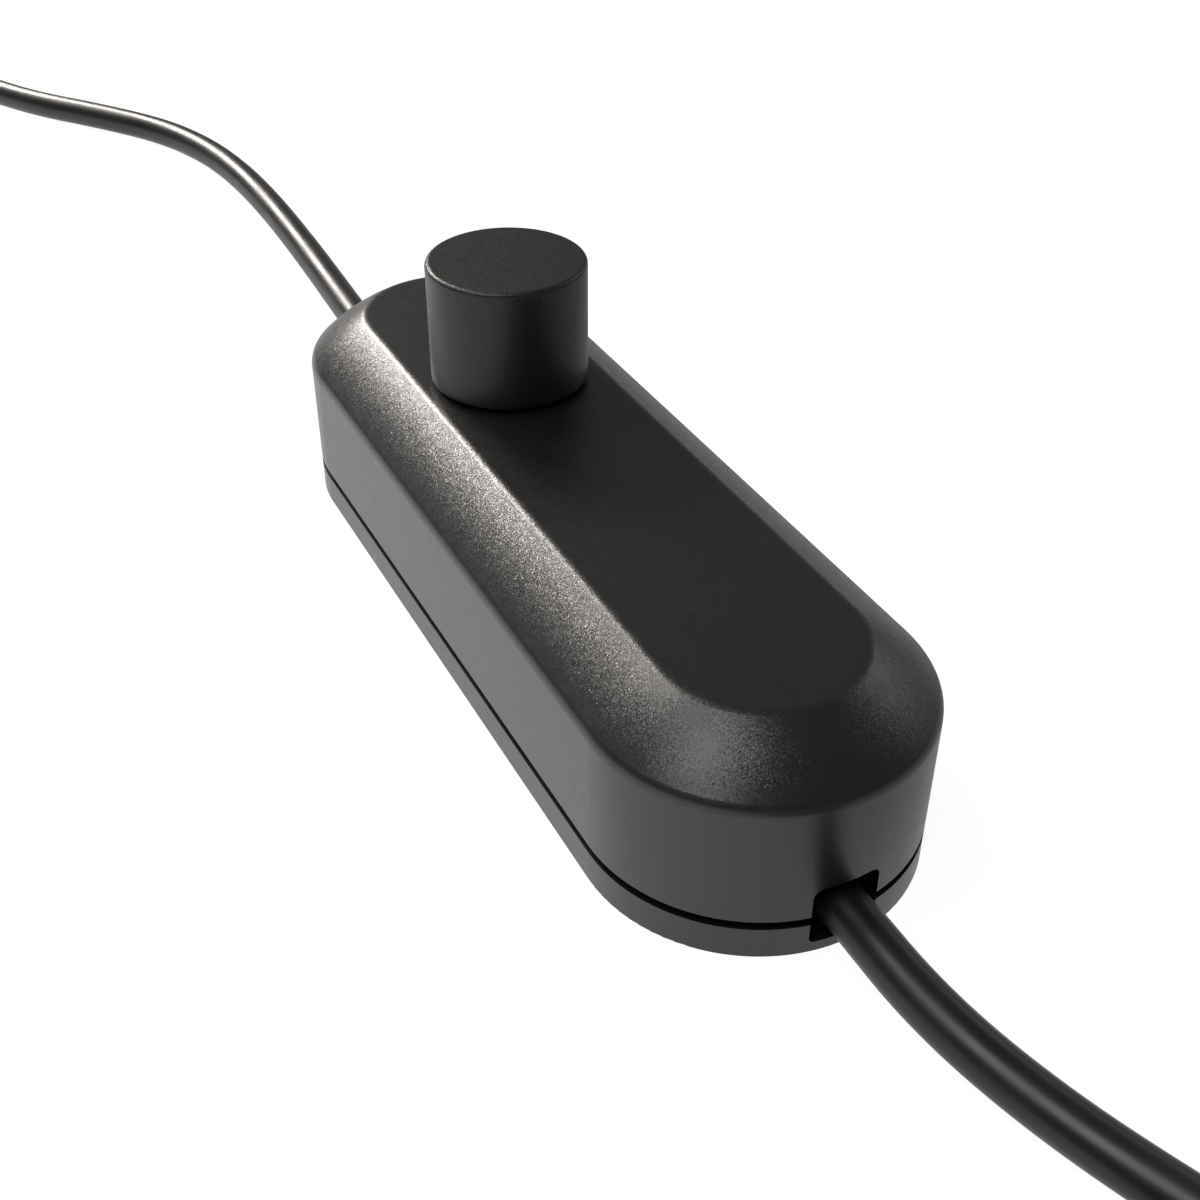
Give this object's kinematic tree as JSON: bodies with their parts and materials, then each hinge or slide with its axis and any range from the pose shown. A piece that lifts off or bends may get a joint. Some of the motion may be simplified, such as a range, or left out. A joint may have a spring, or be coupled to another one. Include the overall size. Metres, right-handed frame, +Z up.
{
  "type": "triac dimmer",
  "caption": "In-line rotary dimmer for lamp flex: slim round-ended black housing, knob on top, a round flex out of each end with its spare length coiled and its cores stripped.",
  "frame": {"origin": "centre of the housing's flat underside", "axes": "+X along the housing away from the knob, +Z up through its flat top"},
  "size_m": [0.52, 0.0608, 0.0393],
  "materials": {
    "housing_plastic": "fine spark-eroded grain, satin",
    "knob_plastic": "fine grain, satin",
    "flex_sheath": "smooth satin flexible sheath",
    "live_insulation": "smooth",
    "neutral_insulation": "smooth",
    "tie_nylon": "woven strap",
    "plated_steel": "bright plated",
    "brass": "turned",
    "copper_wire": "bare or enamelled copper",
    "aluminium_plate": "rolled",
    "board_laminate": "resin-bonded laminate",
    "terminal_plastic": "moulded",
    "clamp_plastic": "moulded",
    "fuse_glass": "clear tube",
    "capacitor_case": "cast box",
    "component_film": "dipped coating",
    "black_moulding": "moulded epoxy or ferrite"
  },
  "bodies": {
    "housing": {"base_tray": "housing_plastic", "bush_nut": "plated_steel", "bush_washer": "plated_steel", "case_screws": "plated_steel", "choke_core": "black_moulding", "choke_winding": "copper_wire", "circuit_board": "board_laminate", "clamp_screws": "plated_steel", "component_leads": "plated_steel", "core_conductors": "copper_wire", "fuse_caps": "plated_steel", "fuse_clips": "plated_steel", "fuse_glass": "fuse_glass", "fuse_wire": "plated_steel", "heat_sink": "aluminium_plate", "input_clamp_bar": "clamp_plastic", "input_coil_tie": "tie_nylon", "input_cord": "flex_sheath", "input_cord_coil": "flex_sheath", "input_cord_tail": "flex_sheath", "input_end_cores": "live_insulation", "input_end_ferrules": "plated_steel", "input_live_core": "live_insulation", "input_neutral_core": "neutral_insulation", "input_terminal_block": "terminal_plastic", "output_clamp_bar": "clamp_plastic", "output_coil_tie": "tie_nylon", "output_cord": "flex_sheath", "output_cord_coil": "flex_sheath", "output_cord_tail": "flex_sheath", "output_end_cores": "live_insulation", "output_end_ferrules": "plated_steel", "output_live_core": "live_insulation", "output_neutral_core": "neutral_insulation", "output_terminal_block": "terminal_plastic", "pot_bush": "brass", "pot_cup": "plated_steel", "pot_pins": "plated_steel", "pot_wafer": "board_laminate", "resistance_track": "black_moulding", "resistors": "component_film", "suppression_capacitor": "capacitor_case", "switch_can": "plated_steel", "terminal_cages": "brass", "terminal_screws": "plated_steel", "timing_capacitor": "component_film", "triac_body": "black_moulding", "triac_leads": "plated_steel", "triac_nut": "plated_steel", "triac_screw": "plated_steel", "trigger_diode": "black_moulding", "upper_shell": "housing_plastic"},
    "knob": {"knob": "knob_plastic", "pot_spindle": "brass", "wiper_carrier": "black_moulding", "wiper_contact": "plated_steel"}
  },
  "joints": [
    {"name": "knob_turn", "type": "hinge", "parent": "housing", "child": "knob", "pos_m": [-0.0188, 0, 0.0246], "axis": [0, 0, -1], "range_deg": [0, 300]}
  ]
}
